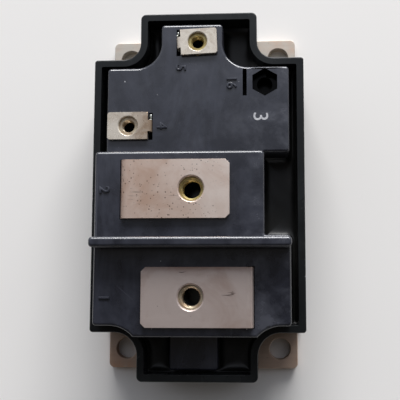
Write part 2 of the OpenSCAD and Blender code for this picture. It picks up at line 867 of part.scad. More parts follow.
module auxiliary_emitter_terminal() {
  color([0.82, 0.8, 0.74])
    translate(aux_at)
      rotate([0, 0, aux_skew])
        mirror([1, 0, 0]) tag(aux_free, aux_slot, aux_tag_w, sense_z + link_t);
}

// Hexagon nut with a chamfered crown, its underside at z = 0
module nut(af, h, bore) {
  crown = af / 2;
  corner = crown / cos(30);
  drop = (corner - crown) * tan(30);
  difference() {
    intersection() {
      linear_extrude(h) hexagon(af);
      rotate_extrude()
        polygon([[0, 0], [corner, 0], [corner, h - drop], [crown, h], [0, h]]);
    }
    translate([0, 0, -past]) cylinder(h = h + 2 * past, d = bore);
  }
}

module main_nut(at) {
  translate([at.x, at.y, main_z - main_nut_h])
    nut(main_nut_af, main_nut_h, main_nut_bore);
}

module tag_nut(at) {
  translate([at.x, at.y, tag_nut_z - tag_nut_h])
    nut(tag_nut_af, tag_nut_h, tag_nut_bore);
}

module emitter_nut() {
  color("goldenrod") main_nut(emitter_at);
}

module collector_nut() {
  color("goldenrod") main_nut(collector_at);
}

module base_nut() {
  color("lightgray") tag_nut(base_at);
}

module auxiliary_emitter_nut() {
  color("goldenrod") tag_nut(aux_at);
}

// Copper-sized layer under the ceramic
module copper_layer(z, t) {
  on_both_substrates()
    translate([-copper_x, copper_y, z]) cube([2 * copper_x, copper_l, t]);
}

module substrate_solder() {
  color("gray") copper_layer(solder_z, solder_t);
}

module bottom_copper() {
  color("peru") copper_layer(bottom_copper_z, copper_t);
}

module ceramic_substrates() {
  color("ivory")
    on_both_substrates()
      translate([-substrate_w / 2, substrate_y, ceramic_z])
        cube([substrate_w, substrate_l, ceramic_t]);
}

// Copper pad that runs the length of a substrate
module pad(x, w) {
  on_both_substrates()
    translate([x, copper_y, pattern_z]) cube([w, copper_l, copper_t]);
}

module emitter_copper() {
  color("peru") pad(-copper_x, emitter_pad_w);
}

module base_copper() {
  color("peru") pad(base_pad_x, base_pad_w);
}

module collector_copper() {
  color("peru") pad(collector_pad_x, copper_x - collector_pad_x);
}

// Two chips on each substrate with their left sides at x
module chip_layer(x, z, t) {
  on_both_substrates()
    for (row = chip_rows)
      translate([x, row, z]) cube([chip_w, chip_l, t]);
}

module driver_layer(z, t) {
  on_both_substrates()
    translate([transistor_x, driver_row, z]) cube([driver_side, driver_side, t]);
}

module chip_solder() {
  color("gray") {
    chip_layer(transistor_x, pattern_top_z, chip_solder_t);
    chip_layer(diode_x, pattern_top_z, chip_solder_t);
    driver_layer(pattern_top_z, chip_solder_t);
  }
}

module transistor_chips() {
  color("slategray") chip_layer(transistor_x, chip_z, chip_t);
}

module driver_chips() {
  color("slategray") driver_layer(chip_z, chip_t);
}

module diode_chips() {
  color("lightslategray") chip_layer(diode_x, chip_z, chip_t);
}

// Bond wire in an upright arc between two faces at heights from_z and to_z
module bond_wire(from, to, from_z, to_z, rise) {
  run = to - from;
  half = norm(run) / 2;
  r = (half * half + rise * rise) / (2 * rise);
  translate([from.x, from.y, from_z])
    rotate([0, 0, atan2(run.y, run.x)])
      translate([half, 0, 0])
        difference() {
          translate([0, 0, rise - r])
            rotate([90, 0, 0])
              rotate_extrude() translate([r, 0]) circle(d = wire_d);
          translate([-2 * r, -wire_d, -3 * r]) cube([2 * r, 2 * wire_d, 3 * r]);
          translate([0, -wire_d, -3 * r]) cube([2 * r, 2 * wire_d, 3 * r + to_z - from_z]);
        }
}

// Rows of the bond wires across a transistor chip
function wire_rows(row) =
  [for (i = [1 : wire_count]) row + chip_l * i / (wire_count + 1)];

module emitter_bond_wires() {
  pad_x = emitter_pad_w * 3 / 4 - copper_x;
  chip_x = transistor_x + chip_w / 2;
  color("gainsboro")
    on_both_substrates()
      for (row = chip_rows, y = wire_rows(row))
        bond_wire([pad_x, y], [chip_x, y], pattern_top_z, chip_top_z, emitter_loop);
}

module diode_bond_wires() {
  color("gainsboro")
    on_both_substrates()
      for (row = chip_rows, y = wire_rows(row))
        bond_wire(
          [transistor_x + chip_w - chip_margin, y], [diode_x + chip_w / 2, y],
          chip_top_z, chip_top_z, diode_loop
        );
}

module driver_bond_wires() {
  x = transistor_x + driver_side / 3;
  pad_x = (base_leg_x + tag_t / 2 + base_pad_x + base_pad_w) / 2;
  low = driver_row + chip_margin;
  high = driver_row + driver_side - chip_margin;
  color("gainsboro")
    on_both_substrates() {
      bond_wire(
        [pad_x, low], [x, low], pattern_top_z, chip_top_z, driver_loop
      );
      bond_wire(
        [x, chip_rows[0] + chip_l - chip_margin], [x, low + 2 * wire_d],
        chip_top_z, chip_top_z, driver_loop
      );
      bond_wire(
        [x, high], [x, chip_rows[1] + chip_margin], chip_top_z, chip_top_z, driver_loop
      );
    }
}

// Link that arches over the gap between the substrates
module arched_link(x, w) {
  translate([x, 0, 0])
    rotate([90, 0, 90])
      linear_extrude(w, center = true) outline(arch_section(pattern_top_z));
}

module collector_link() {
  color("peru") arched_link(collector_leg_x, collector_link_w);
}

module base_link() {
  color("peru") arched_link(base_leg_x, base_link_w);
}

// Strip from the auxiliary emitter terminal over the bond wires to the emitter pad
module emitter_sense_link() {
  end_x = -copper_x + sense_w;
  run_y = copper_y + copper_l - sense_w;
  color("peru") {
    box_between([aux_leg_x - sense_w / 2, run_y, sense_z],
                [aux_leg_x + sense_w / 2, aux_at.y + neck_w / 2, sense_z + link_t]);
    box_between([end_x, run_y, sense_z],
                [aux_leg_x + sense_w / 2, run_y + sense_w, sense_z + link_t]);
    box_between([end_x, run_y, pattern_top_z],
                [end_x + link_t, run_y + sense_w, sense_z + link_t]);
  }
}

base_plate();
case_seal();
case_frame();
terminal_block();
potting_resin();
silicone_gel();
emitter_terminal();
collector_terminal();
base_terminal();
auxiliary_emitter_terminal();
emitter_nut();
collector_nut();
base_nut();
auxiliary_emitter_nut();
substrate_solder();
bottom_copper();
ceramic_substrates();
emitter_copper();
base_copper();
collector_copper();
chip_solder();
transistor_chips();
driver_chips();
diode_chips();
emitter_bond_wires();
driver_bond_wires();
diode_bond_wires();
collector_link();
base_link();
emitter_sense_link();
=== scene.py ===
# Looks of a power transistor module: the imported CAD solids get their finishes, and the nuts,
# the poured resin's skin, the numerals and the fine bevels are made here.
import math
import bmesh
import bpy
import numpy as np
from mathutils import Matrix, Vector


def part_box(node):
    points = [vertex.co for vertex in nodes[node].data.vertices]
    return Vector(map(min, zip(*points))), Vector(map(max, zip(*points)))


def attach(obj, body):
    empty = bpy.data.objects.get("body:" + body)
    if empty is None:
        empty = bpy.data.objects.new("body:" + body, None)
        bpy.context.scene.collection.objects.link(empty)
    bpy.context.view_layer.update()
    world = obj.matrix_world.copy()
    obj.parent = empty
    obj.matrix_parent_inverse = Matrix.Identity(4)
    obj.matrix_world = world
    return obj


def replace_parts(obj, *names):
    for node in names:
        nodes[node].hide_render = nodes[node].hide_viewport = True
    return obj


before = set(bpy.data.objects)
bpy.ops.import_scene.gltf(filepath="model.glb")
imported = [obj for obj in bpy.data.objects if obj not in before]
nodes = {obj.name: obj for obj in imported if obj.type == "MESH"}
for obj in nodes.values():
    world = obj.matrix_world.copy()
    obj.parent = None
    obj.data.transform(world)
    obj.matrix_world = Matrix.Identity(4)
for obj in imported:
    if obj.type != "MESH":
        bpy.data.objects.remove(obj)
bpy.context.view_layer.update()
mm = 0.001
print("frame loaded,", len(nodes), "nodes")


# Linear colour from 0-255 screen values.
def screenColour(r, g, b):
    c = np.array([r, g, b], float) / 255
    c = np.where(c <= 0.04045, c / 12.92, ((c + 0.055) / 1.055) ** 2.4)
    return (float(c[0]), float(c[1]), float(c[2]), 1.0)


# A node's lowest and highest corner in millimetres.
def spanOf(node):
    low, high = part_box(node)
    return np.array(low) / mm, np.array(high) / mm


def addPiece(name, mesh, material):
    piece = bpy.data.objects.new(name, mesh)
    bpy.context.scene.collection.objects.link(piece)
    mesh.materials.clear()
    mesh.materials.append(material)
    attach(piece, "root")
    return piece


# Points in millimetres, and faces as rows of equal length.
def meshFrom(name, points, faces):
    mesh = bpy.data.meshes.new(name)
    points = np.asarray(points, np.float32) * mm
    faces = np.asarray(faces, np.int32)
    mesh.vertices.add(len(points))
    mesh.vertices.foreach_set("co", points.ravel())
    mesh.loops.add(faces.size)
    mesh.loops.foreach_set("vertex_index", faces.ravel())
    mesh.polygons.add(len(faces))
    starts = np.arange(len(faces), dtype=np.int32) * faces.shape[1]
    mesh.polygons.foreach_set("loop_start", starts)
    mesh.update(calc_edges=True)
    mesh.validate()
    return mesh


# Smooth faces, with sharp edges where two faces meet at more than the angle.
def sharpenBy(mesh, degrees):
    mesh.shade_smooth()
    mesh.set_sharp_from_angle(angle=math.radians(degrees))


# Quads of a grid that closes on itself both ways, rows x cols points.
def closedGrid(rows, cols):
    i, j = np.meshgrid(np.arange(rows), np.arange(cols), indexing="ij")
    a, b = (i + 1) % rows, (j + 1) % cols
    return np.stack([i * cols + j, a * cols + j, a * cols + b, i * cols + b], -1).reshape(-1, 4)


# Camera: it stands above the front right of the module and looks almost straight down. The rows of
# "turn" are the world's axes as the camera has them.
view = {"at": (18.601, -25.009, 203.817), "lens": 57.105, "sensor": 36, "shiftX": -0.0755, "shiftY": 0.04452,
        "near": 0.01, "far": 10,
        "turn": ((0.998738, 0.004672, 0.050014),
                 (0.000177, 0.995332, -0.096506),
                 (-0.050232, 0.096393, 0.994075))}
camera = bpy.data.objects.new("camera", bpy.data.cameras.new("camera"))
bpy.context.scene.collection.objects.link(camera)
camera.data.sensor_width, camera.data.lens = view["sensor"], view["lens"]
camera.data.shift_x, camera.data.shift_y = view["shiftX"], view["shiftY"]
camera.data.clip_start, camera.data.clip_end = view["near"], view["far"]
camera.matrix_world = Matrix.Translation(Vector(view["at"]) * mm) @ Matrix(view["turn"]).to_4x4()
bpy.context.scene.camera = camera
bpy.context.scene.view_settings.view_transform = "Standard"

# Light: a pale room, dim overhead, to the left and in front, bright towards the rear, with a wide low
# window there. "From" and "to" are shares of a direction between which one tone turns into the other.
light = {"leftWalls": (0.12, 0.12, 0.12), "rightWalls": (0.45, 0.45, 0.45),
         "rearWalls": (0.55, 0.56, 0.58), "frontOverhead": (0.06, 0.055, 0.05),
         "rearOverhead": (0.66, 0.695, 0.79), "rearFrom": 0.0, "rearTo": 0.45, "sideFrom": -0.7,
         "sideTo": 0.7, "wallsFrom": 0.0, "wallsTo": 0.42, "window": 62.0, "windowWide": 1.60,
         "windowTall": 0.75, "windowAt": (0.18, 1.72, 0.80)}
world = bpy.data.worlds.new("studio")
bpy.context.scene.world = world
world.use_nodes = True
room = world.node_tree
compass = room.nodes.new("ShaderNodeTexCoord")
axes = room.nodes.new("ShaderNodeSeparateXYZ")
room.links.new(compass.outputs["Generated"], axes.inputs[0])


# Share from 0 to 1 of one direction component between two values.
def directionShare(socket, low, high):
    share = room.nodes.new("ShaderNodeMapRange")
    share.interpolation_type = "SMOOTHSTEP"
    share.inputs["From Min"].default_value, share.inputs["From Max"].default_value = low, high
    room.links.new(socket, share.inputs["Value"])
    return share.outputs[0]


# A mix of two colours, or of two colour sockets, by a share.
def roomMix(share, first, second):
    mix = room.nodes.new("ShaderNodeMix")
    mix.data_type = "RGBA"
    room.links.new(share, mix.inputs[0])
    for socket, colour in ((mix.inputs[6], first), (mix.inputs[7], second)):
        if isinstance(colour, tuple):
            socket.default_value = (*colour, 1)
        else:
            room.links.new(colour, socket)
    return mix.outputs[2]


towardsRear = directionShare(axes.outputs[1], light["rearFrom"], light["rearTo"])
towardsRight = directionShare(axes.outputs[0], light["sideFrom"], light["sideTo"])
sideWalls = roomMix(towardsRight, light["leftWalls"], light["rightWalls"])
walls = roomMix(towardsRear, sideWalls, light["rearWalls"])
overhead = roomMix(towardsRear, light["frontOverhead"], light["rearOverhead"])
upwards = directionShare(axes.outputs[2], light["wallsFrom"], light["wallsTo"])
around = roomMix(upwards, walls, overhead)
room.links.new(around, room.nodes["Background"].inputs["Color"])

window = bpy.data.objects.new("window", bpy.data.lights.new("window", "AREA"))
bpy.context.scene.collection.objects.link(window)
window.data.shape, window.data.energy = "RECTANGLE", light["window"]
window.data.size, window.data.size_y = light["windowWide"], light["windowTall"]
window.location = light["windowAt"]
window.rotation_euler = Vector(light["windowAt"]).to_track_quat("Z", "Y").to_euler()
print("camera and light ready")


def link(tree, a, b):
    tree.links.new(a, b)


# A value goes on the socket itself, and a socket is linked to it.
def feed(tree, socket, value):
    if isinstance(value, (int, float)):
        socket.default_value = value
    elif isinstance(value, (tuple, list)):
        socket.default_value = value if len(value) == len(socket.default_value) else (*value, 1)
    elif value is not None:
        link(tree, value, socket)


def noise(tree, vector, scale, detail=3.0, rough=0.55, distortion=0.0):
    n = tree.nodes.new("ShaderNodeTexNoise")
    n.inputs["Detail"].default_value = detail
    n.inputs["Roughness"].default_value = rough
    n.inputs["Distortion"].default_value = distortion
    feed(tree, n.inputs["Scale"], scale)
    link(tree, vector, n.inputs["Vector"])
    return n.outputs["Fac"]


def maths(tree, kind, a, b=None):
    n = tree.nodes.new("ShaderNodeMath")
    n.operation = kind
    feed(tree, n.inputs[0], a)
    feed(tree, n.inputs[1], b)
    return n.outputs[0]


def times(tree, a, b):
    return maths(tree, "MULTIPLY", a, b)


# Smooth step of a value from low to high.
def rise(tree, value, low, high, outLow=0.0, outHigh=1.0):
    n = tree.nodes.new("ShaderNodeMapRange")
    n.interpolation_type = "SMOOTHSTEP"
    for socket, v in zip(n.inputs[:5], (value, low, high, outLow, outHigh)):
        feed(tree, socket, v)
    return n.outputs[0]


def blend(tree, factor, a, b):
    n = tree.nodes.new("ShaderNodeMix")
    n.data_type, n.clamp_factor = "RGBA", True
    for socket, v in ((n.inputs[0], factor), (n.inputs[6], a), (n.inputs[7], b)):
        feed(tree, socket, v)
    return n.outputs[2]


def components(tree, vector):
    n = tree.nodes.new("ShaderNodeSeparateXYZ")
    link(tree, vector, n.inputs[0])
    return n.outputs


# A pattern's frame, turned and stretched.
def mapped(tree, vector, scale=(1, 1, 1), turned=(0, 0, 0)):
    n = tree.nodes.new("ShaderNodeMapping")
    n.inputs["Scale"].default_value, n.inputs["Rotation"].default_value = scale, turned
    link(tree, vector, n.inputs["Vector"])
    return n.outputs[0]


# 1 around a point given in millimetres, falling smoothly to 0 between the inner radius and the reach.
def nearPoint(tree, vector, at, reach, innerRadius=0.0):
    n = tree.nodes.new("ShaderNodeVectorMath")
    n.operation = "DISTANCE"
    link(tree, vector, n.inputs[0])
    n.inputs[1].default_value = [v * mm for v in at]
    return rise(tree, n.outputs["Value"], reach * mm, innerRadius * mm)


def newGroup(name, values, outputs):
    group = bpy.data.node_groups.new(name, "ShaderNodeTree")
    group.interface.new_socket("Vector", in_out="INPUT", socket_type="NodeSocketVector")
    for label, value in values.items():
        socket = group.interface.new_socket(label, in_out="INPUT", socket_type="NodeSocketFloat")
        socket.default_value = value
    for label in outputs:
        group.interface.new_socket(label, in_out="OUTPUT", socket_type="NodeSocketFloat")
    given, put = group.nodes.new("NodeGroupInput"), group.nodes.new("NodeGroupOutput")
    return group, given.outputs, put.inputs


# Sparse round specks: 1 inside small cells of a Voronoi pattern, of which only a share is kept.
specks, given, put = newGroup(
    "sparseSpecks", {"Scale": 500.0, "Radius": 0.15, "Share": 0.1}, ["Mask"])
cell = specks.nodes.new("ShaderNodeTexVoronoi")
link(specks, given["Vector"], cell.inputs["Vector"])
link(specks, given["Scale"], cell.inputs["Scale"])
tint = specks.nodes.new("ShaderNodeSeparateColor")
link(specks, cell.outputs["Color"], tint.inputs[0])
size = times(specks, given["Radius"], rise(specks, tint.outputs[1], 0.0, 1.0, 0.5, 1.0))
inside = maths(specks, "LESS_THAN", cell.outputs["Distance"], size)
kept = maths(specks, "LESS_THAN", tint.outputs[0], given["Share"])
link(specks, times(specks, inside, kept), put["Mask"])

# Fine scratches: thin stretched noise lines in a turned frame, kept where a slow noise is high.
scratches, given, put = newGroup(
    "fineScratches", {"Scale": 60.0, "Turn": 0.5, "Share": 0.6}, ["Mask"])
lean = scratches.nodes.new("ShaderNodeVectorRotate")
lean.rotation_type = "Z_AXIS"
link(scratches, given["Vector"], lean.inputs["Vector"])
link(scratches, given["Turn"], lean.inputs["Angle"])
stretched = mapped(scratches, lean.outputs[0], scale=(1, 34, 6))
thin = noise(scratches, stretched, given["Scale"], detail=2, rough=0.5, distortion=0.4)
where = noise(scratches, given["Vector"], given["Scale"], detail=1, rough=0.5)
gate = maths(scratches, "GREATER_THAN", where, given["Share"])
link(scratches, times(scratches, rise(scratches, thin, 0.70, 0.76), gate), put["Mask"])

# Moulding grain: height of a fine two-scale grain, and a slow tone from the melt's flow. The second
# scale's frequency and height are shares of the first's.
waveScale, waveHeight = 0.12, 0.7
grain, given, put = newGroup("mouldGrain", {"Fine": 2600.0, "Slow": 45.0}, ["Height", "Tone"])
fine = noise(grain, given["Vector"], given["Fine"], detail=3, rough=0.6)
wave = noise(grain, given["Vector"], times(grain, given["Fine"], waveScale), detail=2, rough=0.5)
drawn = mapped(grain, given["Vector"], scale=(1.0, 0.45, 1.0))
flow = noise(grain, drawn, given["Slow"], detail=5, rough=0.66, distortion=1.2)
link(grain, maths(grain, "ADD", fine, times(grain, wave, waveHeight)), put["Height"])
link(grain, rise(grain, flow, 0.36, 0.66), put["Tone"])

# Dust that settles on faces that look up, in soft patches.
dust, given, put = newGroup("settledDust", {"Scale": 70.0, "Amount": 0.2}, ["Mask"])
facing = dust.nodes.new("ShaderNodeNewGeometry")
up = rise(dust, components(dust, facing.outputs["Normal"])[2], 0.55, 0.98)
patches = noise(dust, given["Vector"], given["Scale"], detail=5, rough=0.65, distortion=0.3)
soft = rise(dust, patches, 0.38, 0.72)
link(dust, times(dust, times(dust, up, soft), given["Amount"]), put["Mask"])
print("shared effects ready")


# A Principled material. Values that are the same all over go on the shader's own sockets.
def newMaterial(name, **plain):
    material = bpy.data.materials.new(name)
    material.use_nodes = True
    tree = material.node_tree
    shader = tree.nodes["Principled BSDF"]
    sockets = {"specular": "Specular IOR Level", "metallic": "Metallic", "rough": "Roughness",
               "ior": "IOR", "transmission": "Transmission Weight"}
    for label, value in plain.items():
        shader.inputs[sockets[label]].default_value = value
    return material, tree, shader, tree.nodes.new("ShaderNodeTexCoord").outputs["Object"]


def use(tree, group, vector, **values):
    n = tree.nodes.new("ShaderNodeGroup")
    n.node_tree = group
    link(tree, vector, n.inputs["Vector"])
    for label, value in values.items():
        n.inputs[label].default_value = value
    return n.outputs


def bump(tree, shader, height, strength, distance):
    n = tree.nodes.new("ShaderNodeBump")
    n.inputs["Strength"].default_value = strength
    n.inputs["Distance"].default_value = distance * mm
    link(tree, height, n.inputs["Height"])
    link(tree, n.outputs[0], shader.inputs["Normal"])


# Satin moulded plastic. Its colour goes from dark to pale with the slow flow tone, then towards the
# dust, scratch and speck colours by their masks. Its roughness grows with the flow tone, the dust and,
# on steep faces, most of all on those to the front. Where the finish has an open well, painted shade
# fills it below "wellFrom": the colour there goes near black and the faces turn metallic, so that they
# reflect nothing, in place of the shade of the well's depth.
def plastic(name, v):
    material, tree, shader, spot = newMaterial(name, specular=v["specular"])
    flow = use(tree, grain, spot, Fine=v["grain"], Slow=v["flow"])
    dusty = use(tree, dust, spot, Scale=v["dustScale"], Amount=v["dust"])["Mask"]
    axis, sideStart, full = v["dustSide"]
    side = rise(tree, components(tree, spot)[axis], sideStart * mm, full * mm, v["dustLeast"], 1.0)
    dusty = times(tree, dusty, side)
    speck = use(tree, specks, spot, Scale=v["speckScale"], Radius=v["speckSize"], Share=v["specks"])["Mask"]
    scratch = use(tree, scratches, spot, Scale=v["scratchScale"], Turn=v["scratchTurn"],
                  Share=v["scratchShare"])["Mask"]
    tone = blend(tree, flow["Tone"], v["dark"], v["pale"])
    tone = blend(tree, dusty, tone, v["dustColour"])
    tone = blend(tree, times(tree, scratch, v["scratchShow"]), tone, v["dustColour"])
    tone = blend(tree, times(tree, speck, v["speckShow"]), tone, v["speckColour"])
    # Painted shade in the open well: near black and metallic below its rim, so that it shows neither light
    # nor reflection.
    if "wellAt" in v:
        deep = rise(tree, components(tree, spot)[2], v["wellFrom"] * mm, v["wellTo"] * mm)
        beside = nearPoint(tree, mapped(tree, spot, (1, 1, 0)), v["wellAt"], v["wellReach"], v["wellRadius"])
        wellShade = times(tree, deep, beside)
        tone = blend(tree, wellShade, tone, v["wellPaintedShade"])
        link(tree, times(tree, wellShade, v["wellShadeMetallic"]), shader.inputs["Metallic"])
    link(tree, tone, shader.inputs["Base Color"])
    sheen = maths(tree, "ADD", times(tree, flow["Tone"], v["roughMore"]), v["rough"])
    sheen = maths(tree, "ADD", sheen, times(tree, dusty, v["dustRough"]))
    facing = components(tree, tree.nodes.new("ShaderNodeNewGeometry").outputs["Normal"])
    level = rise(tree, maths(tree, "ABSOLUTE", facing[2]), *v["levelRange"])
    steep = maths(tree, "SUBTRACT", 1.0, level)
    towardsFront = times(tree, rise(tree, facing[1], *v["frontRange"]), 1.0 - v["otherSides"])
    steep = times(tree, steep, maths(tree, "ADD", towardsFront, v["otherSides"]))
    sheen = maths(tree, "ADD", sheen, times(tree, steep, v["steepRough"]))
    link(tree, sheen, shader.inputs["Roughness"])
    bump(tree, shader, flow["Height"], v["grainStrength"], v["grainDepth"])
    return material


# Plated metal. Its colour goes from "base" to "warm" with a cloud pattern and towards one side, and
# towards "dark" along fine rolling lines, in specks and in short strokes near the points in "marks"
# (place, reach, turn). A "range" is where a pattern's mask starts and is full. Its height is the
# rolling lines plus an uneven noise, less the specks' pits.
def metal(name, v):
    material, tree, shader, spot = newMaterial(name, metallic=v["metallic"])
    # Towards one side the colour gets darker and warmer. On the control tags that side is the leg's bend, and
    # the tone there is painted shade on the bend over the tarnish cloud.
    axis, sideStart, sideFull = v["sideTone"]
    side = rise(tree, components(tree, spot)[axis], sideStart * mm, sideFull * mm)
    cloud = noise(tree, spot, v["coarse"], detail=5, rough=0.65, distortion=0.8)
    cloud = rise(tree, cloud, *v["cloudRange"])
    stain = maths(tree, "ADD", times(tree, cloud, v["stain"]), times(tree, side, v["sideToneMore"]))
    tone = blend(tree, stain, v["base"], v["warm"])
    lines = noise(tree, mapped(tree, spot, v["rollLines"]), 1.0, detail=4, rough=0.6)
    tone = blend(tree, times(tree, rise(tree, lines, *v["lineRange"]), v["roll"]), tone, v["dark"])
    speck = use(tree, specks, spot, Scale=v["speckScale"], Radius=v["speckSize"], Share=v["specks"])["Mask"]
    patches = noise(tree, spot, v["speckPatches"], detail=2, rough=0.5)
    speck = times(tree, rise(tree, patches, *v["patchRange"]), speck)
    axis, none, full = v["speckSide"]
    speck = times(tree, speck, rise(tree, components(tree, spot)[axis], none * mm, full * mm))
    tone = blend(tree, times(tree, speck, v["speckShow"]), tone, v["dark"])
    for at, reach, turned in v["marks"]:
        stretched = mapped(tree, spot, v["markLines"], turned=(0, 0, turned))
        stroke = noise(tree, stretched, 1.0, detail=2, rough=0.5, distortion=0.6)
        mark = times(tree, rise(tree, stroke, *v["markRange"]), nearPoint(tree, spot, at, reach))
        tone = blend(tree, times(tree, mark, v["markShow"]), tone, v["dark"])
    link(tree, tone, shader.inputs["Base Color"])
    uneven = noise(tree, spot, v["grain"], detail=4, rough=0.6)
    sheen = maths(tree, "ADD", times(tree, uneven, v["roughMore"]), v["rough"])
    link(tree, sheen, shader.inputs["Roughness"])
    height = maths(tree, "ADD", times(tree, lines, v["roll"] * v["lineHeight"]), uneven)
    height = maths(tree, "SUBTRACT", height, times(tree, speck, v["pitDepth"]))
    bump(tree, shader, height, v["bumpStrength"], v["bumpDepth"])
    return material


# A finish for what lies inside: two close tones in a cloud pattern, and a fine uneven surface.
def simple(name, base, other, scale, rough, roughMore=0.15, strength=0.2, depth=0.03, **plain):
    material, tree, shader, spot = newMaterial(name, **plain)
    cloud = noise(tree, spot, scale, detail=4, rough=0.6)
    link(tree, blend(tree, rise(tree, cloud, 0.35, 0.65), base, other), shader.inputs["Base Color"])
    link(tree, maths(tree, "ADD", times(tree, cloud, roughMore), rough), shader.inputs["Roughness"])
    bump(tree, shader, cloud, strength, depth)
    return material


moulding = {
    "speckScale": 420.0, "speckSize": 0.10, "speckShow": 0.8, "scratchScale": 55.0, "scratchTurn": 0.7,
    "scratchShare": 0.58, "scratchShow": 0.22, "dustRough": 0.5, "levelRange": (0.30, 0.80),
    "frontRange": (0.05, -0.20), "otherSides": 0.3, "grainStrength": 0.35, "grainDepth": 0.02}
casePlastic = plastic("casePlastic", {
    **moulding, "dark": (0.0075, 0.0085, 0.0090), "pale": (0.0120, 0.0135, 0.0143),
    "dustColour": (0.06, 0.06, 0.06), "dust": 0.03, "dustScale": 85.0, "dustSide": (0, -30, 30),
    "dustLeast": 1.0, "specular": 0.30, "rough": 0.22, "roughMore": 0.07, "steepRough": 0.1,
    "grain": 2400.0, "flow": 42.0, "specks": 0.03, "speckColour": (0.40, 0.40, 0.41)})
blockPlastic = plastic("blockPlastic", {
    **moulding, "dark": (0.0135, 0.0147, 0.0212), "pale": (0.0295, 0.0320, 0.0445),
    "dustColour": (0.12, 0.125, 0.15), "dust": 0.42, "dustScale": 120.0, "dustSide": (0, 2, 26),
    "dustLeast": 0.3, "specular": 0.85, "rough": 0.12, "roughMore": 0.10, "steepRough": 0.6,
    "grain": 2800.0, "flow": 60.0, "specks": 0.07, "speckColour": (0.45, 0.45, 0.47),
    # The spare hex well is painted in shade below its rim.
    "wellFrom": 23.9, "wellTo": 23.2, "wellAt": (19.6, 32.1, 0), "wellReach": 4.5, "wellRadius": 4.2,
    "wellShadeMetallic": 0.9, "wellPaintedShade": (0.003, 0.003, 0.003)})
resin = simple("pouredResin", (0.0060, 0.0060, 0.0055), (0.0120, 0.0118, 0.0105), scale=90.0,
               rough=0.30, strength=0.25, specular=0.4)

nickel = {
    "metallic": 0.6, "rough": 0.30, "roughMore": 0.16, "grain": 900.0, "coarse": 70.0,
    "cloudRange": (0.40, 0.66), "stain": 0.4, "sideToneMore": 0.0, "sideTone": (0, 0, 1), "roll": 0.10,
    "rollLines": (40, 900, 900), "lineRange": (0.4, 0.75), "lineHeight": 3.0, "specks": 0.05,
    "speckScale": 1100.0, "speckSize": 0.20, "speckSide": (0, -90, -80), "speckPatches": 130.0,
    "patchRange": (0.38, 0.52), "speckShow": 0.8, "pitDepth": 1.5, "marks": [],
    "markLines": (160, 1500, 1500), "markRange": (0.60, 0.66), "markShow": 0.85,
    "bumpStrength": 0.25, "bumpDepth": 0.03}
emitterNickel = metal("emitterNickel", {
    **nickel, "base": screenColour(234, 219, 208), "warm": screenColour(194, 160, 138),
    "dark": screenColour(70, 52, 44), "sideTone": (0, 8, -16), "sideToneMore": 0.5, "roll": 0.015,
    "specks": 0.85, "speckScale": 1250.0, "speckSize": 0.24, "speckSide": (0, 12, 0),
    "marks": [((-5.2, -1.6, 30.5), 3.0, 1.5), ((-1.2, 9.6, 30.5), 1.6, 0.8),
              ((-16.5, -2.5, 30.5), 3.0, 0.9)]})
collectorNickel = metal("collectorNickel", {
    **nickel, "base": screenColour(199, 184, 177), "warm": screenColour(164, 137, 124),
    "dark": screenColour(50, 36, 30), "sideTone": (1, -23.5, -21.2), "stain": 0.5,
    "sideToneMore": 0.8, "coarse": 62.0, "roll": 0.02,
    "marks": [((10.1, -29.9, 30.5), 3.2, -0.12), ((9.2, -28.6, 30.5), 2.2, 1.1),
              ((-4.2, -23.0, 30.5), 3.0, 0.3)]})
tag = {**nickel, "base": screenColour(232, 222, 206), "warm": screenColour(164, 142, 120),
       "dark": screenColour(70, 54, 42), "rough": 0.18, "stain": 0.5, "sideToneMore": 0.6,
       "coarse": 190.0, "roll": 0.03}
# Both tags darken towards their legs: painted shade on the bend.
baseTagNickel = metal("baseTagNickel", {**tag, "sideTone": (0, -20.5, -16.5)})
auxiliaryTagNickel = metal("auxiliaryTagNickel", {**tag, "sideTone": (0, -5.0, -8.5)})
shoulderNickel = metal("shoulderNickel", {
    **tag, "base": screenColour(196, 200, 194), "warm": screenColour(150, 150, 142)})
plateNickel = metal("plateNickel", {
    **nickel, "base": screenColour(190, 183, 172), "warm": screenColour(198, 156, 128),
    "dark": screenColour(84, 72, 64), "rough": 0.40, "stain": 0.6, "coarse": 40.0,
    "sideTone": (1, -20, -50), "sideToneMore": 0.5})
yellowZinc = metal("yellowZinc", {
    **nickel, "base": screenColour(196, 180, 122), "warm": screenColour(150, 124, 72),
    "dark": screenColour(70, 60, 42), "rough": 0.24, "stain": 0.7, "coarse": 260.0})
plainZinc = metal("plainZinc", {
    **nickel, "base": screenColour(204, 192, 168), "warm": screenColour(158, 118, 80),
    "dark": screenColour(70, 58, 46), "rough": 0.24, "stain": 0.6, "coarse": 260.0})
greyPrint = simple("greyPrint", (0.40, 0.40, 0.42), (0.56, 0.56, 0.58), scale=1500.0, rough=0.5,
                   strength=0.3, specular=0.3)

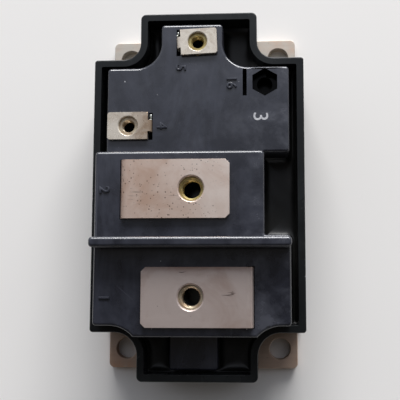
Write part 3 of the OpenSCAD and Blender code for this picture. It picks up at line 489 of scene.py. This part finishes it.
# The nodes that keep their CAD shape: a finish for each, and the nodes that take the same one.
inner = {
    "silicone_gel": simple("clearGel", (0.80, 0.85, 0.88), (0.74, 0.80, 0.85), scale=60.0, rough=0.10,
                           strength=0.1, transmission=0.8, ior=1.41),
    "case_seal": simple("sealGlue", (0.05, 0.05, 0.05), (0.08, 0.08, 0.08), scale=300.0, rough=0.55,
                        strength=0.3),
    "substrate_solder": simple("dullSolder", (0.40, 0.40, 0.41), (0.52, 0.52, 0.52), scale=400.0,
                               rough=0.35, strength=0.3, metallic=1.0),
    "ceramic_substrates": simple("whiteCeramic", (0.76, 0.75, 0.71), (0.82, 0.81, 0.78), scale=500.0,
                                 rough=0.45),
    "bottom_copper": simple("bareCopper", (0.72, 0.38, 0.24), (0.62, 0.30, 0.18), scale=220.0,
                            rough=0.26, strength=0.25, metallic=1.0),
    "transistor_chips": simple("chipMetal", (0.36, 0.38, 0.42), (0.45, 0.47, 0.50), scale=800.0,
                               rough=0.16, strength=0.1, metallic=1.0),
    "emitter_bond_wires": simple("drawnAluminium", (0.78, 0.78, 0.79), (0.68, 0.68, 0.70),
                                 scale=900.0, rough=0.22, metallic=1.0),
    "potting_resin": resin,
}
likewise = {
    "chip_solder": "substrate_solder", "emitter_copper": "bottom_copper",
    "base_copper": "bottom_copper", "collector_copper": "bottom_copper",
    "collector_link": "bottom_copper", "base_link": "bottom_copper",
    "emitter_sense_link": "bottom_copper", "driver_chips": "transistor_chips",
    "diode_chips": "transistor_chips", "driver_bond_wires": "emitter_bond_wires",
    "diode_bond_wires": "emitter_bond_wires",
}
for node in [*inner, *likewise]:
    nodes[node].data.materials.clear()
    nodes[node].data.materials.append(inner[likewise.get(node, node)])
print("materials ready")


# A merged copy of a CAD node with its sharp edges broken. An edge's bevel is "edge" wide, or "topEdge"
# wide where both its ends lie at the height "topAt". Points closer than "merge" become one, and faces
# that meet at less than "flat" degrees become one face.
def dressed(name, v, material):
    mesh = nodes[v["node"]].data.copy()
    mesh.name = name
    shape = bmesh.new()
    shape.from_mesh(mesh)
    bmesh.ops.remove_doubles(shape, verts=shape.verts, dist=v["merge"] * mm)
    bmesh.ops.dissolve_limit(shape, angle_limit=math.radians(v["flat"]), verts=shape.verts, edges=shape.edges)
    shape.to_mesh(mesh)
    shape.free()
    sharpenBy(mesh, v["sharpFrom"])
    points = np.zeros(len(mesh.vertices) * 3, np.float32)
    mesh.vertices.foreach_get("co", points)
    ends = np.zeros(len(mesh.edges) * 2, np.int32)
    mesh.edges.foreach_get("vertices", ends)
    heights = points.reshape(-1, 3)[:, 2][ends.reshape(-1, 2)] / mm
    sharp = np.zeros(len(mesh.edges), bool)
    mesh.attributes["sharp_edge"].data.foreach_get("value", sharp)
    widest = max(v["edge"], v["topEdge"])
    atTop = (np.abs(heights - v["topAt"]) < v["level"]).all(1)
    weight = np.where(sharp, np.where(atTop, v["topEdge"], v["edge"]) / widest, 0.0)
    weights = mesh.attributes.new("bevel_weight_edge", "FLOAT", "EDGE")
    weights.data.foreach_set("value", weight.astype(np.float32))
    piece = addPiece(name, mesh, material)
    broken = piece.modifiers.new("brokenEdges", "BEVEL")
    broken.width, broken.segments, broken.limit_method = widest * mm, v["segments"], "WEIGHT"
    even = piece.modifiers.new("evenShading", "WEIGHTED_NORMAL")
    even.keep_sharp, even.weight = True, 100
    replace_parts(piece, v["node"])


shell = {"merge": 0.004, "flat": 0.4, "sharpFrom": 32, "level": 0.01, "segments": 2}
terminalBlock = {**shell, "node": "terminal_block", "slot": "block_plastic", "edge": 0.14,
                 "topEdge": 0.24, "topAt": 24.0, "segments": 3}
dressed("terminalBlock", terminalBlock, blockPlastic)
caseFrame = {**shell, "node": "case_frame", "slot": "case_plastic", "edge": 0.16, "topEdge": 0.42,
             "topAt": 22.0, "segments": 3}
dressed("caseFrame", caseFrame, casePlastic)
busbar = {**shell, "slot": "busbar_nickel", "edge": 0.12, "topEdge": 0.24, "topAt": 30.5}
emitterTerminal = {**busbar, "node": "emitter_terminal"}
dressed("emitterTerminal", emitterTerminal, emitterNickel)
collectorTerminal = {**busbar, "node": "collector_terminal"}
dressed("collectorTerminal", collectorTerminal, collectorNickel)
controlTag = {**shell, "slot": "tag_nickel", "edge": 0.08, "topEdge": 0.16, "topAt": 25.25}
baseTerminal = {**controlTag, "node": "base_terminal"}
dressed("baseTerminal", baseTerminal, baseTagNickel)
auxiliaryEmitterTerminal = {**controlTag, "node": "auxiliary_emitter_terminal"}
dressed("auxiliaryEmitterTerminal", auxiliaryEmitterTerminal, auxiliaryTagNickel)
basePlate = {**shell, "node": "base_plate", "slot": "nickel_plate", "edge": 0.15, "topEdge": 0.2,
             "topAt": 3.0}
dressed("basePlate", basePlate, plateNickel)
print("dressed pieces ready")


# Rounded lumps as one piece, each given by its middle and its size. A lump is an ellipsoid whose sines
# and cosines are raised to the power "boxy", below 1, so that it is boxy. Its poles are merged.
def roundedLumps(name, v, material):
    around = np.linspace(0, 2 * np.pi, v["around"], endpoint=False)[None, :]
    tilt = np.linspace(-np.pi / 2, np.pi / 2, v["rows"])[:, None]
    waves = (np.cos(around), np.sin(around), np.cos(tilt), np.sin(tilt))
    cosAround, sinAround, cosTilt, sinTilt = [np.sign(a) * np.abs(a) ** v["boxy"] for a in waves]
    unit = np.stack([cosTilt * cosAround, cosTilt * sinAround, sinTilt + 0 * around], -1).reshape(-1, 3)
    quads = closedGrid(v["rows"], v["around"])[:, ::-1].reshape(v["rows"], v["around"], 4)
    quads = quads[:-1].reshape(-1, 4)
    lumps = v["lumps"]
    points = np.concatenate([np.array(at) + unit * np.array(size) / 2 for at, size in lumps])
    faces = np.concatenate([quads + k * len(unit) for k in range(len(lumps))])
    mesh = meshFrom(name, points, faces)
    shape = bmesh.new()
    shape.from_mesh(mesh)
    bmesh.ops.remove_doubles(shape, verts=shape.verts, dist=v["merge"] * mm)
    bmesh.ops.recalc_face_normals(shape, faces=shape.faces)
    shape.to_mesh(mesh)
    shape.free()
    sharpenBy(mesh, v["sharpFrom"])
    addPiece(name, mesh, material)


# What shows of the legs' wider shoulders in their slots, with the burrs left by the punch.
lump = {"slot": "tag_nickel", "around": 24, "rows": 13, "boxy": 0.6, "merge": 0.002, "sharpFrom": 60}
baseLegShoulder = {**lump, "lumps": [
    ((-13.68, 22.35, 23.15), (0.80, 1.45, 1.5)),
    ((-13.62, 21.22, 24.0), (0.85, 0.42, 0.7))]}
roundedLumps("baseLegShoulder", baseLegShoulder, shoulderNickel)
auxiliaryLegShoulder = {**lump, "lumps": [
    ((-5.80, 47.15, 23.1), (0.6, 0.9, 1.5)),
    ((-6.02, 46.25, 23.95), (0.5, 0.55, 0.7)),
    ((-5.62, 42.3, 22.9), (0.6, 1.2, 1.5))]}
roundedLumps("auxiliaryLegShoulder", auxiliaryLegShoulder, shoulderNickel)
print("leg shoulders ready")


# A hexagon nut as one closed sheet: radius by angle and step, up the thread, out over the chamfered
# crown, down the flats and back under. In the bore the radius is minor + depth x ramp(height / pitch -
# turn), where the ramp goes from 0 to 1 and back once a turn. The flats lie at half / cos(angle from the
# nearest flat), and the crown is a circle at the share "crown" of half, cut back at "chamfer" degrees.
def threadedNut(name, v, material):
    low, high = spanOf(v["node"])
    centre, tall = (low + high) / 2, high[2] - low[2]
    half = (high[0] - low[0]) / 2  # the corners point along Y, so the flats face X
    angle = np.linspace(0, 2 * np.pi, v["around"], endpoint=False)
    z = np.linspace(0, tall, int(tall / v["pitch"] * v["perTurn"]) + 1)
    phase = np.mod(z[None, :] / v["pitch"] - angle[:, None] / (2 * np.pi), 1.0)
    ramp = np.clip(v["rampSlope"] * (1 - np.abs(2 * phase - 1)) - v["rampSink"], 0, 1)
    mouth = np.clip((v["countersink"] - np.minimum(z, tall - z)) / v["countersink"], 0, 1)
    bore = v["minor"] + v["depth"] * np.maximum(ramp, mouth[None, :])
    away = np.mod(angle + np.pi / 6, np.pi / 3) - np.pi / 6
    flat = half / np.cos(away)
    crown = np.minimum(flat, half * v["crown"])
    drop = (flat - crown) * math.tan(math.radians(v["chamfer"]))
    ledge = bore[:, -1] + v["ledge"] * (crown - bore[:, -1])
    soft = v["soft"]  # half the height of the soft edge under the chamfer
    outside = [(ledge, tall), (crown, tall), (flat - soft, tall - drop), (flat, tall - drop - 2 * soft),
               (flat, drop + 2 * soft), (flat - soft, drop), (crown, 0), (ledge, 0)]
    outer = np.stack([r for r, h in outside], 1)
    outerLevel = np.stack([h + 0 * flat for r, h in outside], 1)
    radius = np.concatenate([bore, outer], 1)
    level = np.concatenate([np.broadcast_to(z, bore.shape), outerLevel], 1)
    x = centre[0] + radius * np.cos(angle)[:, None]
    y = centre[1] + radius * np.sin(angle)[:, None]
    points = np.stack([x, y, low[2] + level], -1)
    faces = closedGrid(v["around"], radius.shape[1])[:, ::-1]
    mesh = meshFrom(name, points.reshape(-1, 3), faces)
    sharpenBy(mesh, v["sharpFrom"])
    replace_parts(addPiece(name, mesh, material), v["node"])


hexNut = {"perTurn": 10, "around": 96, "countersink": 0.45, "rampSlope": 1.35, "rampSink": 0.1,
          "crown": 0.97, "chamfer": 30, "ledge": 0.6, "soft": 0.02, "sharpFrom": 28}
mainThread = {**hexNut, "pitch": 1.0, "minor": 2.5, "depth": 0.52}
emitterNut = {**mainThread, "node": "emitter_nut", "slot": "yellow_zinc"}
threadedNut("emitterNut", emitterNut, yellowZinc)
collectorNut = {**mainThread, "node": "collector_nut", "slot": "plain_zinc"}
threadedNut("collectorNut", collectorNut, plainZinc)
controlThread = {**hexNut, "pitch": 0.7, "minor": 1.65, "depth": 0.33}
baseNut = {**controlThread, "node": "base_nut", "slot": "plain_zinc"}
threadedNut("baseNut", baseNut, plainZinc)
auxiliaryEmitterNut = {**controlThread, "node": "auxiliary_emitter_nut", "slot": "yellow_zinc"}
threadedNut("auxiliaryEmitterNut", auxiliaryEmitterNut, yellowZinc)
print("nuts ready")


# Outline through corners (x, y, radius), each corner turned as an arc: the arc's points are the start and
# end rays from its middle, weighted by the sines of the sweep's two parts.
def roundedOutline(corners, steps=10):
    at = np.array(corners, float)
    out = []
    for i in range(len(at)):
        p, r = at[i, :2], at[i, 2]
        if r == 0:
            out.append(p[None])
            continue
        a, b = at[i - 1, :2] - p, at[(i + 1) % len(at), :2] - p
        a, b = a / np.linalg.norm(a), b / np.linalg.norm(b)
        half = math.acos(np.clip(a @ b, -1, 1)) / 2
        reach, middle = r / math.tan(half), p + (a + b) / np.linalg.norm(a + b) * r / math.sin(half)
        start, end = p + a * reach - middle, p + b * reach - middle
        t, sweep = np.linspace(0, 1, steps + 1)[:, None], math.pi - 2 * half
        out.append(middle + (start * np.sin((1 - t) * sweep) + end * np.sin(t * sweep)) / math.sin(sweep))
    return np.concatenate(out)


# Even-odd rule for many points at once.
def insideOf(points, outline):
    x, y = points[:, 0:1], points[:, 1:2]
    a, b = outline, np.roll(outline, -1, 0)
    crosses = (a[:, 1] > y) != (b[:, 1] > y)
    at = a[:, 0] + (y - a[:, 1]) * (b[:, 0] - a[:, 0]) / np.where(b[:, 1] == a[:, 1], 1e-9, b[:, 1] - a[:, 1])
    return (crosses & (x < at)).sum(1) % 2 == 1


# Distance from many points to the nearest side of an outline, some points at a time.
def distanceTo(points, outline, batch=4000):
    run = np.roll(outline, -1, 0) - outline
    length = np.maximum((run ** 2).sum(1), 1e-12)
    best = []
    for some in np.array_split(points, len(points) // batch + 1):
        away = some[:, None, :] - outline
        t = np.clip((away * run).sum(2) / length, 0, 1)
        best.append(np.sqrt(((away - t[..., None] * run) ** 2).sum(2)).min(1))
    return np.concatenate(best)


# The resin's skin: its height is the fill level plus a climb that falls off as exp(-distance / reach) from
# the block and from the frame, with a slow ripple, and it never passes the brim. The ripple is a wave
# across the module, bent by a wave along it, times a wave along it. "halfWide" and "halfLong" reach just
# into the frame.
resinSkin = {"slot": "resin", "step": 0.22, "halfWide": 29.4, "halfLong": 52.4, "climbBlock": 1.8,
             "reachBlock": 1.15, "climbRim": 1.5, "reachRim": 0.85, "lift": 0.06, "brim": 19.5,
             "ripple": 0.03, "waveAcross": 0.9, "waveBend": 1.3, "waveBendAlong": 0.31,
             "waveAlong": 0.55, "thick": 0.25}

# The walls that the resin meets, as corners (x, y, radius) in millimetres: the frame's inner wall, and
# the block with its boss and the flares beside the boss.
rightWall = [(15.2, -51.9, 0.5), (15.2, -38, 8.7), (28.9, -38, 0.5), (28.9, 38, 0.5), (15.2, 38, 7.1),
             (15.2, 51.9, 0.5)]
insideFrame = roundedOutline(rightWall + [(-x, y, r) for x, y, r in rightWall[::-1]])
flare = {"x": 23.9, "y": -46.7, "radius": 8.9, "endX": 17.19, "points": 12}
flareEnd = math.acos((flare["endX"] - flare["x"]) / flare["radius"])
turned = np.linspace(math.pi / 2, flareEnd, flare["points"])
flareX = flare["x"] + flare["radius"] * np.cos(turned)
flareY = flare["y"] + flare["radius"] * np.sin(turned)
rightFlare = np.stack([flareX, flareY], 1)
blockSides = roundedOutline([
    (26.6, -37.8, 1), (26.6, -12.7, 1), (19.3, -12.7, .5), (19.3, 11.3, .5), (26.6, 11.3, 1),
    (26.6, 36.8, 1), (7.3, 36.8, 7.5), (7.3, 49.8, 1), (-10.8, 49.8, 1), (-10.8, 36.8, 7.5),
    (-26.6, 36.8, 1), (-26.6, 11, .2), (-28.5, 11, 1), (-28.5, -37.8, 1)])
boss = roundedOutline([(-8.275, -40.85, 0), (-8.275, -51, 1), (5.875, -51, 1), (5.875, -40.85, 0)])
blockLine = np.concatenate([blockSides, rightFlare * [-1, 1], boss, rightFlare[::-1]])

# A grid over the case, of which the quads with all corners in or beside the open resin are kept.
gx = np.arange(-resinSkin["halfWide"], resinSkin["halfWide"] + resinSkin["step"], resinSkin["step"])
gy = np.arange(-resinSkin["halfLong"], resinSkin["halfLong"] + resinSkin["step"], resinSkin["step"])
gridX, gridY = np.meshgrid(gx, gy, indexing="ij")
spots = np.stack([gridX.ravel(), gridY.ravel()], 1)
inFrame, inBlock = insideOf(spots, insideFrame), insideOf(spots, blockLine)
resinOpen = (inFrame & ~inBlock).reshape(gridX.shape)
near = resinOpen.copy()
for shift, axis in ((1, 0), (-1, 0), (1, 1), (-1, 1)):
    near |= np.roll(resinOpen, shift, axis)
chosen = near.ravel()
toFrame, toBlock = np.zeros(len(spots)), np.zeros(len(spots))
toFrame[chosen] = distanceTo(spots[chosen], insideFrame)
toBlock[chosen] = distanceTo(spots[chosen], blockLine)
toFrame, toBlock = np.where(inFrame, toFrame, 0.0), np.where(inBlock, 0.0, toBlock)
rimClimb = resinSkin["climbRim"] * np.exp(-toFrame / resinSkin["reachRim"])
blockClimb = resinSkin["climbBlock"] * np.exp(-toBlock / resinSkin["reachBlock"])
climb = np.sqrt(rimClimb ** 2 + blockClimb ** 2)
bend = resinSkin["waveBend"] * np.sin(gridY * resinSkin["waveBendAlong"])
wave = np.sin(gridX * resinSkin["waveAcross"] + bend) * np.cos(gridY * resinSkin["waveAlong"])
ripple = resinSkin["ripple"] * (1 + wave).ravel()
fill = spanOf("potting_resin")[1][2] + resinSkin["lift"]
level = np.minimum(fill + ripple + climb, resinSkin["brim"])
i, j = np.nonzero(near[:-1, :-1] & near[1:, :-1] & near[:-1, 1:] & near[1:, 1:])
cols = len(gy)
quads = np.stack([i * cols + j, (i + 1) * cols + j, (i + 1) * cols + j + 1, i * cols + j + 1], 1)
usedSpots, quads = np.unique(quads, return_inverse=True)
quads = quads.reshape(-1, 4)
skinMesh = meshFrom("resinSkin", np.column_stack([spots, level])[usedSpots], quads)
skinMesh.shade_smooth()
skin = addPiece("resinSkin", skinMesh, resin)
thickness = skin.modifiers.new("thickness", "SOLIDIFY")
thickness.thickness, thickness.offset = resinSkin["thick"] * mm, -1
print("resin skin ready,", len(quads), "faces")


# Plain digits as a thin raised or printed layer on a deck, turned a quarter turn clockwise. The text is
# made one unit high with the thickness "body", then stretched to "tall" and from "sunk" to "rise".
def numeral(name, v, material):
    text = bpy.data.curves.new(name, "FONT")
    text.body, text.align_x, text.align_y = v["digits"], "CENTER", "CENTER"
    text.size, text.extrude, text.resolution_u = 1.0, v["body"], v["curveSteps"]
    text.bevel_depth, text.bevel_resolution, text.offset = v["round"], 1, v["heavy"] - v["round"]
    holder = bpy.data.objects.new(name + "Text", text)
    bpy.context.scene.collection.objects.link(holder)
    made = holder.evaluated_get(bpy.context.evaluated_depsgraph_get())
    mesh = bpy.data.meshes.new_from_object(made)
    bpy.data.objects.remove(holder)
    shape = bmesh.new()
    shape.from_mesh(mesh)
    bmesh.ops.remove_doubles(shape, verts=shape.verts, dist=v["merge"])
    bmesh.ops.recalc_face_normals(shape, faces=shape.faces)
    shape.to_mesh(mesh)
    shape.free()
    points = np.zeros(len(mesh.vertices) * 3, np.float32)
    mesh.vertices.foreach_get("co", points)
    points = points.reshape(-1, 3)
    low, high = points.min(0), points.max(0)
    flat = (points[:, :2] - (low + high)[:2] / 2) * v["tall"] / (high[1] - low[1])
    share = (points[:, 2] - low[2]) / (high[2] - low[2])
    z = v["deck"] - v["sunk"] + share * (v["rise"] + v["sunk"])
    placed = np.column_stack([v["at"][0] + flat[:, 1], v["at"][1] - flat[:, 0], z])
    mesh.vertices.foreach_set("co", (placed * mm).astype(np.float32).ravel())
    mesh.update()
    mesh.name = name
    sharpenBy(mesh, v["sharpFrom"])
    addPiece(name, mesh, material)


controlDeck, mainDeck = 24.0, 29.0
moulded = {"slot": "block_plastic", "tall": 3.0, "rise": 0.45, "sunk": 0.2, "round": 0.035,
           "heavy": 0.03, "body": 0.05, "curveSteps": 6, "merge": 0.0001, "sharpFrom": 40}
numeralBase = {**moulded, "digits": "4", "at": (-10.3, 19.4), "deck": controlDeck}
numeral("numeralBase", numeralBase, blockPlastic)
numeralAuxiliary = {**moulded, "digits": "5", "at": (-4.9, 36.6), "deck": controlDeck}
numeral("numeralAuxiliary", numeralAuxiliary, blockPlastic)
numeralSpare = {**moulded, "digits": "16", "at": (10.0, 31.7), "deck": controlDeck, "tall": 3.1}
numeral("numeralSpare", numeralSpare, blockPlastic)
numeralEmitter = {**moulded, "digits": "2", "at": (-25.5, 0.0), "deck": mainDeck}
numeral("numeralEmitter", numeralEmitter, blockPlastic)
numeralCollector = {**moulded, "digits": "1", "at": (-25.1, -30.1), "deck": mainDeck}
numeral("numeralCollector", numeralCollector, blockPlastic)
numeralPrinted = {**moulded, "digits": "3", "at": (18.4, 21.85), "deck": controlDeck, "tall": 4.3,
                  "rise": 0.03, "round": 0.0, "heavy": 0.0}
numeral("numeralPrinted", numeralPrinted, greyPrint)
print("numerals ready")

# Floor: a large square of pale paper just under the module.
floorLook = {"half": 900, "z": -0.02, "cloud": 9.0, "rough": 0.75, "specular": 0.2,
             "pale": screenColour(233, 230, 226), "paler": screenColour(238, 236, 233)}
floorCorners = np.array([(-1, -1), (1, -1), (1, 1), (-1, 1)]) * floorLook["half"]
floorPoints = np.column_stack([floorCorners, np.full(4, floorLook["z"])])
floorMesh = meshFrom("floor", floorPoints, [(0, 1, 2, 3)])
floor = bpy.data.objects.new("floor", floorMesh)
bpy.context.scene.collection.objects.link(floor)
paper, tree, shader, spot = newMaterial(
    "palePaper", rough=floorLook["rough"], specular=floorLook["specular"])
cloud = noise(tree, spot, floorLook["cloud"], detail=3, rough=0.5)
link(tree, blend(tree, cloud, floorLook["pale"], floorLook["paler"]), shader.inputs["Base Color"])
floorMesh.materials.append(paper)

print("done")
